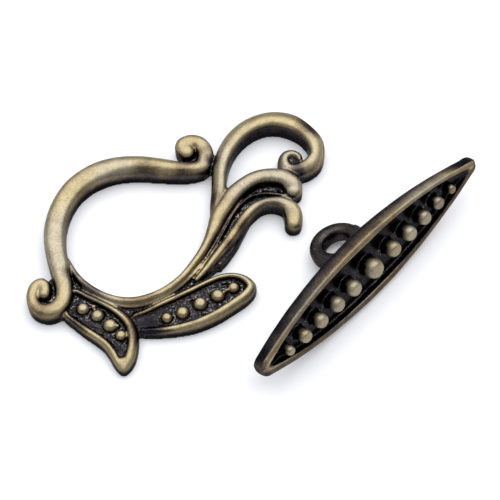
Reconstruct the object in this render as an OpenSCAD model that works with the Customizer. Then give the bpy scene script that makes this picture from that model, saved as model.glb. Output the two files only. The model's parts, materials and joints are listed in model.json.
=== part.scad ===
/* [Ring] */
// Span of the ring from its left scroll to the side of its hook
ring_span = 36; // [30:0.5:44]
// Thickness of the ring at the crest of its strokes
ring_t = 3; // [2.4:0.1:4]
// Width of the round stroke that frames the opening
stroke_w = 2.8; // [2.2:0.1:3.4]
// Width of the hook's stroke
hook_w = 2.7; // [2.1:0.1:3.2]
// Width of the two strands of the feather
strand_w = 2; // [1.5:0.1:2.4]
// Width of the rims round the two leaves
rim_w = 1; // [0.7:0.05:1.3]
// Width of the hairline ridge between the strands
hairline_w = 0.4; // [0.3:0.05:0.6]
// Thickness of the sunk floors between strokes and rims
floor_t = 1.3; // [0.9:0.1:1.6]
// Height of the webs that fill the corners between the hook and its neighbours
web_t = 2; // [1.7:0.1:2.4]
// Height of the leaf rims above the surface that the ring lies on
rim_t = 2.2; // [2:0.1:2.8]
// Diameter of the largest bead on the leaves
leaf_bead_d = 1.65; // [1.2:0.05:2]
// Height of the leaf beads above the surface that the ring lies on
leaf_bead_t = 2.3; // [2:0.1:2.8]

/* [Bar] */
// Length of the bar
bar_len = 39.1; // [32:0.1:46]
// How much farther the bar reaches on its far side than on its near side
bar_lead = 0.8; // [0:0.1:1.2]
// Width of the bar's face at its middle
face_w = 9; // [8:0.1:10]
// Width of the bar's face at its near end
tip_w = 2; // [1.6:0.1:2.6]
// Width of the bar's face at its far end
far_tip_w = 1.2; // [1:0.1:2]
// Depth of the bar at its middle, behind its face
bar_depth = 2.3; // [2:0.1:3]
// Depth of the bar at its two ends
tip_depth = 1.8; // [1.5:0.1:2]
// Width of the polished rim round the bar's recess
bar_rim_w = 1; // [0.7:0.05:1.2]
// Drop of that rim from its inner to its outer edge
bar_rim_drop = 0.15; // [0.1:0.05:0.4]
// Depth of the recess below its rim
recess_depth = 1; // [0.7:0.05:1.2]
// Radius that rounds the bar's back edges
back_round = 0.8; // [0.5:0.05:1]
// Diameter of the bar's middle bead
bar_bead_d = 2.6; // [1.9:0.1:2.9]
// Height of the middle bead's top above the bar's rim
bar_bead_rise = 1.6; // [1:0.1:1.8]

/* [Eye] */
// Diameter of the hole through the eye
eye_bore_d = 3.2; // [2.6:0.1:3.8]
// Wall of the eye round its hole
eye_wall = 1.9; // [1.4:0.05:2.2]
// Length of the eye along its hole
eye_len = 2.2; // [1.6:0.1:2.8]
// Radius that rounds the eye's edges
eye_round = 0.6; // [0.2:0.05:0.7]
// Height of the eye's foot between the bar's back and the hole
eye_foot = 2.25; // [1.9:0.05:2.7]
// Distance of the eye from the middle of the bar, along the bar
eye_shift = 0.4; // [0:0.1:1.5]

/* [Layout] */
// Turn of the bar on the surface, seen from above
bar_yaw = 47; // [40:1:55]
// Free space between the feather and the eye of the bar
bar_space = 1.9; // [1.5:0.05:8]

/* [Hidden] */

// The ring's plan is drawn on a grid of 36 squares across its span.
cell = ring_span / 36;
// Steps of the curve from each knot of a table to the next
frame_steps = 3;
strand_steps = 2;
// Sides of a round bead and segments over the crown of a stroke
bead_sides = 14;
crown_steps = 6;
ridge_steps = 4;
// Share of a stroke's height at which its upright walls turn into the crown
wall_share = 0.36;
// How square a crown is, 1 for a round one
crown_power = 0.6;
// The same two for the stroke of the frame, which is rounder than the others
frame_wall_share = 0.45;
frame_power = 0.9;
// Share of their height by which strokes run on below the underside, before it is cut flat
under_share = 0.3;
under = 1;
// Share of a leaf rim's width by which its crest leans inward, and the share for its outer wall
rim_lean = 0.11;
low_wall_share = 0.36;
// How far one solid is sunk into another that it is cast with
sunk = 0.2;
// Reach of the recess, as a share of half the bar
recess_reach = 0.955;
// Powers by which the face and the recess narrow toward the near and the far end
near_taper = 2.1;
far_taper = 1.8;
near_fill = 2.6;
far_fill = 2.3;
// How much the bar's section shrinks toward its very ends, and the share of half the bar before that
end_round = 0.55;
end_share = 0.955;
// Depth toward which it shrinks, as a share of the bar's depth
end_core = 0.6;
// Draft of the recess, its floor against its mouth, and the least width and wall beside it
recess_draft = 0.9;
least_half = 0.02;
least_wall = 0.3;
// Height of a bar bead's dome, as a share of its diameter
dome_share = 0.5;
// Spread of the eye's foot where it meets the bar, against the eye's ring
eye_flare = 1.14;

// Knots of the frame stroke, from the low scroll round the opening to the top scroll.
// Columns: x and y in grid squares from the middle of the opening,
// width in shares of stroke_w, height in shares of ring_t.
frame_knots = [
    [-10.85, -8.1, 0.54, 0.88],
    [-10.8, -7.35, 0.54, 0.90],
    [-11.15, -6.75, 0.54, 0.91],
    [-11.9, -7.15, 0.54, 0.90],
    [-12.25, -8.2, 0.52, 0.88],
    [-12.1, -9.2, 0.54, 0.87],
    [-11.45, -10.05, 0.62, 0.86],
    [-10.4, -10.36, 0.70, 0.86],
    [-9.4, -10.05, 0.74, 0.88],
    [-8.7, -9.25, 0.74, 0.91],
    [-8.42, -8.2, 0.72, 0.93],
    [-8.52, -7.0, 0.74, 0.96],
    [-8.9, -5.6, 0.80, 0.99],
    [-9.28, -4.1, 0.90, 1.00],
    [-9.8, -1.8, 0.94, 1.00],
    [-10.0, 0.6, 0.96, 1.00],
    [-9.6, 3.1, 0.96, 1.00],
    [-8.6, 5.5, 0.97, 1.00],
    [-7.1, 7.4, 0.98, 1.00],
    [-5.1, 8.8, 1.00, 1.00],
    [-2.6, 9.7, 1.03, 1.00],
    [0.1, 9.95, 1.04, 1.00],
    [2.5, 9.75, 0.98, 0.98],
    [4.7, 9.45, 0.88, 0.95],
    [6.55, 9.4, 0.76, 0.91],
    [7.95, 9.85, 0.74, 0.89],
    [8.42, 11.0, 0.72, 0.88],
    [8.3, 12.2, 0.72, 0.87],
    [7.65, 13.2, 0.70, 0.87],
    [6.6, 13.45, 0.72, 0.88],
    [5.8, 13.0, 0.86, 0.89],
    [5.82, 12.15, 0.94, 0.90]
];

// Knots of the hook, from the foot of its stem to the small scroll.
// Columns: x and y in grid squares, width in shares of hook_w, height in shares of ring_t.
hook_knots = [
    [9.4, 2.4, 0.28, 0.88],
    [9.75, 4.4, 0.56, 0.92],
    [10.1, 6.4, 0.72, 0.96],
    [10.15, 8.4, 0.72, 1.00],
    [10.45, 10.4, 0.78, 1.00],
    [11.1, 12.3, 0.84, 1.00],
    [12.3, 14.2, 0.90, 1.00],
    [14.2, 15.8, 0.94, 1.00],
    [16.6, 16.6, 0.97, 1.00],
    [18.9, 16.3, 1.02, 1.00],
    [20.8, 15.1, 0.90, 1.00],
    [22.15, 13.4, 0.86, 0.98],
    [22.4, 11.6, 0.74, 0.96],
    [21.9, 10.4, 0.78, 0.94],
    [20.9, 9.55, 0.74, 0.90],
    [19.6, 9.15, 0.66, 0.86],
    [18.5, 9.6, 0.60, 0.85],
    [18.15, 10.65, 0.54, 0.85],
    [18.55, 11.5, 0.50, 0.86],
    [19.4, 11.7, 0.46, 0.85],
    [20.1, 11.35, 0.40, 0.82],
    [20.3, 10.85, 0.30, 0.78]
];

// Knots of the upper strand, from its drooping end to the far end of the arc under the opening.
// Columns: x and y in grid squares, width in shares of strand_w, height in shares of ring_t.
upper_knots = [
    [19.42, 6.5, 1.14, 0.88],
    [19.3, 7.05, 1.26, 0.94],
    [18.9, 7.65, 1.26, 0.98],
    [18.0, 8.14, 1.16, 1.00],
    [16.4, 8.27, 1.10, 1.00],
    [14.75, 7.92, 1.08, 1.00],
    [13.36, 7.08, 1.08, 1.00],
    [12.07, 5.84, 1.10, 1.00],
    [11.03, 4.26, 1.12, 1.00],
    [10.12, 2.57, 1.08, 0.98],
    [9.55, 0.88, 0.88, 0.94],
    [8.9, -0.8, 0.68, 0.92],
    [8.1, -2.5, 0.60, 0.90],
    [7.0, -4.2, 0.56, 0.86],
    [5.65, -5.95, 0.56, 0.83],
    [3.95, -7.4, 0.56, 0.80],
    [2.0, -8.38, 0.56, 0.76],
    [0.0, -8.87, 0.58, 0.73],
    [-2.05, -8.7, 0.56, 0.71],
    [-4.1, -7.9, 0.52, 0.70],
    [-5.85, -6.72, 0.48, 0.70],
    [-7.25, -5.2, 0.44, 0.70],
    [-8.3, -3.4, 0.40, 0.72]
];

// Knots of the lower strand, from its drooping ball to where it fades against the leaf.
// Columns: x and y in grid squares, width in shares of strand_w, height in shares of ring_t.
lower_knots = [
    [19.35, 1.95, 1.08, 0.68],
    [19.4, 2.8, 1.18, 0.82],
    [19.1, 3.7, 1.12, 0.90],
    [18.35, 4.35, 0.92, 0.92],
    [17.1, 4.65, 0.74, 0.93],
    [15.8, 4.5, 0.68, 0.92],
    [14.6, 3.8, 0.68, 0.92],
    [13.5, 2.6, 0.70, 0.92],
    [12.6, 1.2, 0.70, 0.92],
    [11.7, -0.3, 0.68, 0.90],
    [10.6, -1.9, 0.64, 0.88],
    [9.4, -3.6, 0.56, 0.84],
    [8.4, -5.0, 0.46, 0.78],
    [7.5, -6.0, 0.34, 0.70]
];

// Knots of the hairline ridge between the strands and round under the arc.
// Columns: x and y in grid squares, width in shares of hairline_w, height in shares of ring_t.
hairline_knots = [
    [19.2, 5.35, 1.50, 0.60],
    [17.9, 5.85, 1.80, 0.62],
    [16.5, 6.05, 1.50, 0.64],
    [15.2, 5.95, 1.10, 0.66],
    [13.9, 5.4, 1.00, 0.68],
    [12.8, 4.4, 1.00, 0.68],
    [11.85, 2.9, 1.00, 0.68],
    [11.0, 1.1, 1.00, 0.68],
    [10.05, -0.9, 1.00, 0.68],
    [8.9, -3.0, 1.00, 0.68],
    [7.4, -5.05, 1.00, 0.68],
    [5.6, -6.95, 1.00, 0.66],
    [3.9, -8.2, 1.00, 0.64],
    [2.0, -9.15, 1.00, 0.62],
    [0.3, -9.6, 0.90, 0.60],
    [-1.2, -9.6, 0.90, 0.60],
    [-2.9, -9.1, 0.90, 0.60],
    [-4.75, -8.15, 0.90, 0.58],
    [-6.4, -7.0, 0.80, 0.56]
];

// Knots of the low ridge along the outer foot of the feather.
// Columns: x and y in grid squares, width in shares of rim_w, height in shares of ring_t.
foot_knots = [
    [18.2, 3.8, 0.50, 0.52],
    [16.8, 4.3, 0.50, 0.52],
    [15.1, 3.8, 0.50, 0.52],
    [13.9, 2.4, 0.50, 0.52],
    [13.1, 0.7, 0.50, 0.52],
    [12.3, -1.0, 0.55, 0.52],
    [11.3, -2.6, 0.60, 0.52],
    [10.3, -3.9, 0.60, 0.52]
];

// Knots of the right leaf's rim, closed, from its tip over the upper side.
// Columns: x and y in grid squares, width in shares of rim_w, height in shares of rim_t.
right_rim_knots = [
    [14.2, -6.9, 1.35, 1.00],
    [13.5, -5.9, 1.10, 1.00],
    [12.2, -5.4, 0.90, 1.00],
    [10.5, -5.55, 0.88, 1.00],
    [8.8, -6.3, 0.86, 1.00],
    [7.0, -7.3, 0.86, 1.00],
    [5.0, -8.35, 0.84, 0.98],
    [3.0, -9.35, 0.80, 0.94],
    [1.4, -10.2, 0.76, 0.88],
    [0.1, -10.7, 0.70, 0.80],
    [-0.75, -11.5, 0.60, 0.50],
    [0.6, -12.6, 0.80, 0.64],
    [2.2, -12.7, 0.95, 0.72],
    [4.0, -12.6, 1.05, 0.78],
    [6.0, -12.3, 1.15, 0.86],
    [8.0, -11.7, 1.25, 0.94],
    [10.0, -10.7, 1.30, 1.00],
    [11.9, -9.4, 1.30, 1.00],
    [13.5, -8.1, 1.35, 1.00]
];

// Knots of the left leaf's rim, closed, from its tip up the outer side.
// Columns: x and y in grid squares, width in shares of rim_w, height in shares of rim_t.
left_rim_knots = [
    [-1.0, -17.7, 0.90, 0.62],
    [-0.35, -16.6, 1.35, 0.86],
    [0.05, -15.0, 1.35, 0.98],
    [0.05, -13.4, 1.30, 1.00],
    [-0.45, -11.9, 1.20, 1.00],
    [-1.4, -10.75, 1.10, 1.00],
    [-2.8, -9.75, 0.92, 1.00],
    [-4.2, -8.95, 0.84, 0.98],
    [-5.7, -8.2, 0.80, 0.96],
    [-7.2, -7.5, 0.74, 0.94],
    [-8.3, -8.6, 0.72, 0.88],
    [-8.2, -10.5, 0.78, 0.80],
    [-6.9, -11.7, 0.90, 0.78],
    [-5.5, -12.8, 0.96, 0.80],
    [-4.2, -13.75, 1.00, 0.84],
    [-3.1, -14.7, 1.02, 0.86],
    [-2.3, -15.8, 1.05, 0.82],
    [-1.75, -16.85, 0.95, 0.72]
];

// Knots of the solid tip where the left leaf's two rims run together.
// Columns: x and y in grid squares, width in shares of rim_w, height in shares of rim_t.
left_tip_knots = [
    [-1.15, -16.2, 1.50, 0.82],
    [-1.1, -16.75, 1.70, 0.80],
    [-1.0, -17.45, 1.20, 0.66]
];

// Beads on the leaves.
// Columns: x and y in grid squares, diameter in shares of leaf_bead_d.
right_beads = [
    [4.0, -11.1, 0.78],
    [5.9, -10.4, 0.92],
    [8.0, -9.2, 0.98],
    [10.1, -8.1, 1.00],
    [12.0, -7.05, 0.82]
];
left_beads = [
    [-6.1, -9.9, 0.88],
    [-4.3, -10.8, 0.92],
    [-2.75, -12.1, 1.00],
    [-1.4, -13.45, 0.78]
];
small_beads = [
    [11.1, -7.5, 0.28],
    [-1.85, -12.25, 0.26],
    [-4.8, -9.7, 0.32]
];

// Discs of sunk floor inside the three scrolls, and of the web between top scroll and hook.
// Columns: x and y in grid squares, radius in grid squares.
scroll_floors = [
    [-10.6, -8.4, 1.7],
    [-9.8, -6.5, 0.9],
    [7.0, 11.6, 1.7],
    [19.2, 10.2, 1.4],
    [9.3, 10.8, 0.8]
];

// Webs in the corners where the hook meets the frame and the feather. Columns: x, y and radius in squares.
webs = [
    [9.2, 10.5, 0.60],
    [10.9, 5.6, 0.70],
    [20.0, 8.9, 0.60]
];

// Beads along each half of the bar.
// Columns: distance from the middle in shares of half the bar, diameter in shares of bar_bead_d.
bar_beads = [
    [0.000, 1.00],
    [0.185, 0.80],
    [0.336, 0.76],
    [0.484, 0.73],
    [0.624, 0.68],
    [0.757, 0.48]
];

// A point of the smooth curve through the knots k, a share t of the way from knot i to the next
function curve_point(k, i, t, closed) =
    let (n = len(k),
         a = closed ? k[(i + n - 1) % n] : k[max(i - 1, 0)],
         b = k[i],
         c = closed ? k[(i + 1) % n] : k[min(i + 1, n - 1)],
         d = closed ? k[(i + 2) % n] : k[min(i + 2, n - 1)])
    (2 * b + (c - a) * t + (2 * a - 5 * b + 4 * c - d) * t * t
        + (3 * b - a - 3 * c + d) * t * t * t) / 2;

// Stations along the curve through the knots, as x, y, width and height in millimetres
function stations(knots, steps, width, height, closed = false) =
    let (last = closed ? len(knots) - 1 : len(knots) - 2,
         raw = [for (i = [0:last]) for (s = [0:steps - 1]) curve_point(knots, i, s / steps, closed)],
         all = closed ? raw : concat(raw, [knots[len(knots) - 1]]))
    [for (p = all) [p[0] * cell, p[1] * cell, p[2] * width, p[3] * height]];

// Half of a stroke's section, over its crown, for a stroke one wide and one high
function crown(steps, wall, power) = [for (j = [0:steps])
    let (a = 180 - 180 * j / steps)
    [cos(a) / 2, wall + (1 - wall) * pow(sin(a), power)]];

function section(steps, wall, power) =
    concat([[-0.5, -under_share]], crown(steps, wall, power), [[0.5, -under_share]]);

// Section of a leaf's rim: its crest leans inward and its outer side falls lower
function rim_section(steps) = concat([[-0.5, -under_share]],
    [for (q = crown(steps, wall_share, crown_power))
        let (x = q[0] - rim_lean * (1 - 4 * q[0] * q[0]))
        [x, x > 0 ? q[1] - (wall_share - low_wall_share) * pow(2 * x, 1.5) : q[1]]],
    [[0.5, -under_share]]);

function unit(v) = v / norm(v);

// Direction of the path at station i
function heading(s, i, closed) =
    let (n = len(s),
         a = closed ? s[(i + n - 1) % n] : s[max(i - 1, 0)],
         b = closed ? s[(i + 1) % n] : s[min(i + 1, n - 1)])
    unit([b[0] - a[0], b[1] - a[1]]);

// Corners of the section set across the path at station p
function slice(p, dir, shape, wall = 0, shrink = 1, ahead = 0) =
    [for (q = shape)
        [p[0] + dir[0] * ahead + dir[1] * q[0] * p[2] * shrink,
         p[1] + dir[1] * ahead - dir[0] * q[0] * p[2] * shrink,
         q[1] * p[3] * (q[1] > wall ? wall + (1 - wall) * shrink : 1)]];

// Round end of a stroke: slices that shrink as a quarter circle, side is -1 or 1
cap_turns = [30, 58, 80];
function cap(p, dir, shape, wall, side) =
    let (turns = side < 0 ? [for (i = [2:-1:0]) cap_turns[i]] : cap_turns)
    [for (a = turns) slice(p, dir, shape, wall, cos(a), side * sin(a) * p[2] / 2)];

module skin(slices, closed) {
    n = len(slices);
    m = len(slices[0]);
    last = closed ? n - 1 : n - 2;
    sides = [for (i = [0:last]) for (j = [0:m - 1])
        let (k = (j + 1) % m, i2 = (i + 1) % n)
        each [[i * m + j, i2 * m + j, i2 * m + k], [i * m + j, i2 * m + k, i * m + k]]];
    ends = closed ? [] : [[for (j = [0:m - 1]) j], [for (j = [m - 1:-1:0]) (n - 1) * m + j]];
    polyhedron(points = [for (s = slices) each s], faces = concat(sides, ends), convexity = 8);
}

// A stroke that follows its stations and ends round
module stroke(s, steps, wall = wall_share, power = crown_power) {
    shape = section(steps, wall, power);
    n = len(s);
    slices = concat(
        cap(s[0], heading(s, 0, false), shape, wall, -1),
        [for (i = [0:n - 1]) slice(s[i], heading(s, i, false), shape)],
        cap(s[n - 1], heading(s, n - 1, false), shape, wall, 1));
    skin(slices, false);
}

// A sunk floor with the given outline
module floor_plate(outline) {
    translate([0, 0, -under]) linear_extrude(under + floor_t) polygon(outline);
}

// A stroke that closes on itself, with a sunk floor inside it
module rim(s, steps) {
    shape = rim_section(steps);
    n = len(s);
    skin([for (i = [0:n - 1]) slice(s[i], heading(s, i, true), shape)], true);
    floor_plate([for (p = s) [p[0], p[1]]]);
}

// A bead with a round crown, flattened by polishing
module leaf_bead(x, y, d) {
    crown_h = min(d * 0.4, leaf_bead_t - floor_t);
    translate([x * cell, y * cell, 0]) hull() {
        translate([0, 0, floor_t - sunk]) cylinder(h = sunk, d = d, $fn = bead_sides);
        translate([0, 0, leaf_bead_t - crown_h]) cylinder(h = crown_h * 0.1, d = d, $fn = bead_sides);
        translate([0, 0, leaf_bead_t - crown_h * 0.35])
            cylinder(h = crown_h * 0.1, d = d * 0.84, $fn = bead_sides);
        translate([0, 0, leaf_bead_t - sunk / 2]) cylinder(h = sunk / 2, d = d * 0.5, $fn = bead_sides);
    }
}

module frame_stroke() {
    stroke(stations(frame_knots, frame_steps, stroke_w, ring_t), crown_steps, frame_wall_share, frame_power);
    for (f = scroll_floors)
        translate([f[0] * cell, f[1] * cell, -under])
            cylinder(h = under + floor_t, r = f[2] * cell, $fn = 32);
}

module hook() {
    stroke(stations(hook_knots, frame_steps, hook_w, ring_t), crown_steps);
    for (f = webs)
        translate([f[0] * cell, f[1] * cell, -under])
            cylinder(h = under + web_t, r = f[2] * cell, $fn = 20);
}

// Corners of the floor under the arc, in grid squares, between the two leaves
floor_corners = [[-8.6, -6], [-8.4, -7.6], [-3, -10], [0, -11], [6, -8]];

// Floor of the feather and of the arc under the opening
module feather_floor() {
    upper = stations(upper_knots, strand_steps, strand_w, ring_t);
    foot = stations(foot_knots, strand_steps, rim_w, ring_t);
    floor_plate(concat(
        [for (p = upper) [p[0], p[1]]],
        [for (p = floor_corners) p * cell],
        [for (i = [len(foot) - 1:-1:0]) [foot[i][0], foot[i][1]]]));
}

module feather() {
    stroke(stations(upper_knots, strand_steps, strand_w, ring_t), crown_steps);
    stroke(stations(lower_knots, strand_steps, strand_w, ring_t), crown_steps);
    stroke(stations(hairline_knots, strand_steps, hairline_w, ring_t), ridge_steps);
    stroke(stations(foot_knots, strand_steps, rim_w, ring_t), ridge_steps);
    feather_floor();
}

module leaves() {
    rim(stations(right_rim_knots, strand_steps, rim_w, rim_t, true), crown_steps);
    rim(stations(left_rim_knots, strand_steps, rim_w, rim_t, true), crown_steps);
    stroke(stations(left_tip_knots, strand_steps, rim_w, rim_t), crown_steps);
    for (b = concat(right_beads, left_beads, small_beads)) leaf_bead(b[0], b[1], b[2] * leaf_bead_d);
}

// Half width of the bar's face, a share t of half the bar away from its middle
function face_half(t) =
    let (tip = t > 0 ? far_tip_w : tip_w, taper = t > 0 ? far_taper : near_taper)
    tip / 2 + (face_w - tip) / 2 * (1 - pow(abs(t), taper));
function depth_at(t) = tip_depth + (bar_depth - tip_depth) * (1 - pow(abs(t), 2));
function recess_share(t) = max(0, 1 - pow(abs(t) / recess_reach, t > 0 ? far_fill : near_fill));

bar_steps = 20;
bar_stations = [for (i = [-bar_steps:bar_steps]) sin(90 * i / bar_steps)];
function recess_half(t) = (face_w / 2 - bar_rim_w) * recess_share(t);

round_steps = 3;
function bar_section(t) =
    let (w = face_half(t), d = depth_at(t), r = min(back_round, w * 0.7, d * 0.6),
         q = max(least_half, min(recess_half(t), w - least_wall)),
         sink = recess_depth * min(1, recess_share(t) * 3))
    concat(
        [for (j = [0:round_steps]) let (a = 90 * j / round_steps)
            [-(w - r) - r * sin(a), -(d - r) - r * cos(a)]],
        [[-w, -bar_rim_drop], [-q, 0], [-q * recess_draft, -sink]],
        [[q * recess_draft, -sink], [q, 0], [w, -bar_rim_drop]],
        [for (j = [round_steps:-1:0]) let (a = 90 * j / round_steps)
            [(w - r) + r * sin(a), -(d - r) - r * cos(a)]]);

// Shrink of the section in the rounded last stretch of each end
function end_shrink(t) =
    let (gone = min(1, max(0, abs(t) - end_share) / (1 - end_share)))
    1 - end_round * (1 - sqrt(1 - gone * gone));

// Place along the bar, a share t of half the bar away from its middle
function bar_x(t) = t * (bar_len + sign(t) * bar_lead) / 2;

bar_slices = [for (t = bar_stations)
    let (s = end_shrink(t), core = -depth_at(t) * end_core)
    [for (q = bar_section(t)) [bar_x(t), -q[0] * s, core + (q[1] - core) * s]]];

eye_out = eye_bore_d / 2 + eye_wall;
eye_back = bar_depth + eye_foot + eye_bore_d / 2;

// Tilt at which the long side and the eye both touch the surface
side_v = face_w / 2 - back_round;
side_n = bar_depth - back_round;
eye_v = eye_len / 2 - eye_round;
eye_n = eye_back + eye_out - eye_round;
lean_a = side_v - eye_v;
lean_b = eye_n - side_n;
bar_tilt = acos((eye_round - back_round) / norm([lean_a, lean_b])) - atan2(lean_b, lean_a);
bar_lift = side_v * cos(bar_tilt) + side_n * sin(bar_tilt) + back_round;

along = [cos(bar_yaw), sin(bar_yaw), 0];
outward = [sin(bar_yaw), -cos(bar_yaw), 0];
normal = outward * cos(bar_tilt) + [0, 0, sin(bar_tilt)];
upward = -outward * sin(bar_tilt) + [0, 0, cos(bar_tilt)];

// Tip of the eye on the surface, beside the feather
feather_end = [19.5, 0.4];
eye_tip = [feather_end[0] * cell + strand_w / 2 + bar_space, feather_end[1] * cell, 0];
reach = (eye_back + eye_out) * cos(bar_tilt);
bar_at = eye_tip + outward * reach - along * eye_shift + [0, 0, bar_lift];
function seat(p) = bar_at + along * p[0] + upward * p[1] + normal * p[2];

// Middle of the whole clasp, which becomes the origin
bar_corners = [for (s = bar_slices) for (q = s) seat(q)];
frame_stations = stations(frame_knots, frame_steps, stroke_w, ring_t);
hook_stations = stations(hook_knots, frame_steps, hook_w, ring_t);
west = min([for (p = frame_stations) p[0] - p[2] / 2]);
north = max([for (p = hook_stations) p[1] + p[2] / 2]);
east = max([for (c = bar_corners) c[0]]);
south = min([for (c = bar_corners) c[1]]);
middle = [(west + east) / 2, (south + north) / 2, 0];

// A bead of the bar, upright below and domed above, exact all round
module bar_bead(x, d) {
    top = recess_depth + bar_bead_rise * (0.25 + 0.75 * d / bar_bead_d);
    dome = min(d * dome_share, top);
    translate([x, 0, -recess_depth])
        rotate_extrude($fn = 48) polygon(concat(
            [[0, -sunk], [d / 2, -sunk]],
            [for (a = [0:15:75]) [d / 2 * cos(a), top - dome + dome * sin(a)]],
            [[0, top]]));
}

// The eye's ring, with a true round hole across the bar
module eye_ring() {
    r = eye_bore_d / 2;
    h = eye_len / 2;
    e = eye_round;
    rotate([90, 0, 0]) rotate_extrude($fn = 96) polygon([
        [r, -h + e], [r + e * 0.3, -h + e * 0.3], [r + e, -h],
        [eye_out - e, -h], [eye_out - e * 0.3, -h + e * 0.3], [eye_out, -h + e],
        [eye_out, h - e], [eye_out - e * 0.3, h - e * 0.3], [eye_out - e, h],
        [r + e, h], [r + e * 0.3, h - e * 0.3], [r, h - e]]);
}

// The foot that spreads from the ring to the bar's back
module eye_foot_block() {
    top = eye_bore_d / 2 + eye_foot + sunk;
    half = eye_len / 2 - eye_round * 0.4;
    difference() {
        rotate([90, 0, 0]) translate([0, 0, -half]) linear_extrude(2 * half) polygon([
            [-eye_out, 0], [-eye_out, top * 0.55], [-eye_out * eye_flare, top],
            [eye_out * eye_flare, top], [eye_out, top * 0.55], [eye_out, 0]]);
        rotate([90, 0, 0]) cylinder(h = eye_len * 2, r = eye_out - eye_wall / 2, center = true, $fn = 96);
    }
}

module eye() {
    translate([eye_shift, 0, -eye_back]) {
        eye_ring();
        eye_foot_block();
    }
}

module toggle_ring() {
    color("darkkhaki") translate(-middle) difference() {
        union() {
            frame_stroke();
            hook();
            feather();
            leaves();
        }
        translate([-ring_span, -ring_span, -2 * ring_t]) cube([3 * ring_span, 2 * ring_span, 2 * ring_t]);
    }
}

module toggle_bar() {
    color("darkkhaki")
        translate(bar_at - middle)
        multmatrix([
            [along[0], upward[0], normal[0], 0],
            [along[1], upward[1], normal[1], 0],
            [along[2], upward[2], normal[2], 0]]) {
            skin(bar_slices, false);
            for (b = bar_beads) for (side = b[0] > 0 ? [-1, 1] : [1])
                bar_bead(side * b[0] * bar_len / 2, b[1] * bar_bead_d);
            eye();
        }
}

toggle_ring();
toggle_bar();
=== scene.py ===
"""Looks of a cast toggle clasp: an openwork ring and a beaded bar in antique brass, on a pale table.

Both halves are drawn in millimetres as strokes, floors and beads, fused into one skin each, as a
casting is, and then worn: what a polishing drum reaches is bright, and what it misses stays dark.
Painted light rides along with the wear: highlights on the bar's bead flanks, lips and recess wall,
painted shade on one bevel of the ring's hook, and painted glints of silver in the dark hollows.
"""

import json
import logging
import math
from abc import ABC, abstractmethod
from dataclasses import dataclass
from enum import Enum
from typing import Sequence

import bmesh
import bpy
from mathutils import Matrix, Vector
from mathutils.bvhtree import BVHTree
from mathutils.noise import fractal, noise


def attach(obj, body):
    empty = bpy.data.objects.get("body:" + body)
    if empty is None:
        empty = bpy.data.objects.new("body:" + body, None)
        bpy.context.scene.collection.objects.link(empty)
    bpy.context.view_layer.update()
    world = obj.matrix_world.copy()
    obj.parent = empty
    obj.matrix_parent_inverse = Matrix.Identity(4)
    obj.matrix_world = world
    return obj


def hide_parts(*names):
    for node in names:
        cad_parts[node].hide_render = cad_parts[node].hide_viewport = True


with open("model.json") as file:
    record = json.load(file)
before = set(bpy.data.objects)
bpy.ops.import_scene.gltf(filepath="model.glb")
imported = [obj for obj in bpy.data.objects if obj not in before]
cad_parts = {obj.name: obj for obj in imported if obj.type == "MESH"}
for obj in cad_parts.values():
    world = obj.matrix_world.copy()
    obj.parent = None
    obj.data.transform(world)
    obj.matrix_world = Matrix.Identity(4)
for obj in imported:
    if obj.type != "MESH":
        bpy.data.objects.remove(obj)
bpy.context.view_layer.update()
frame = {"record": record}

log = logging.getLogger("toggle_clasp")

MM = 0.001

# x and y in millimetres, then width and height as shares of a stroke's own, or a radius and a share
Knot = tuple[float, float, float, float]

# x and y in millimetres, then a radius in millimetres or a size as a share, or any place in space
Spot = tuple[float, float, float]

# x and y in millimetres, the start and end of a range, or the near and far end's values
Pair = tuple[float, float]

# How far the outer side of a leaning crown drops, and how sharply it bends down
OUTER_DROP = 0.9
OUTER_BEND = 1.5

# How square a nearly round crown is
ROUND_CROWN = 0.85

# Height of the ring's crests in millimetres, and size and crown of its leaf rims
CREST = 3.0
LEAF_RIM = {"width": 1.0, "height": 2.2, "fullness": 0.4}

# Angles at which the sections of a round end stand, in degrees
CAP_TURNS = (20.0, 40.0, 58.0, 72.0, 82.0)

# Length in millimetres below which two points count as one
TOUCHING = 1e-6

Tree = bpy.types.NodeTree
Socket = bpy.types.NodeSocket


class Section(Enum):
    """Shape across a stroke: how far its crest leans to the right, as a share of its width."""

    CROWN = 0.0
    BOW = 0.1
    RIM = -0.11


class End(Enum):
    """How a stroke ends."""

    ROUND = "both ends round"
    CLOSED = "runs back into itself"


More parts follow.
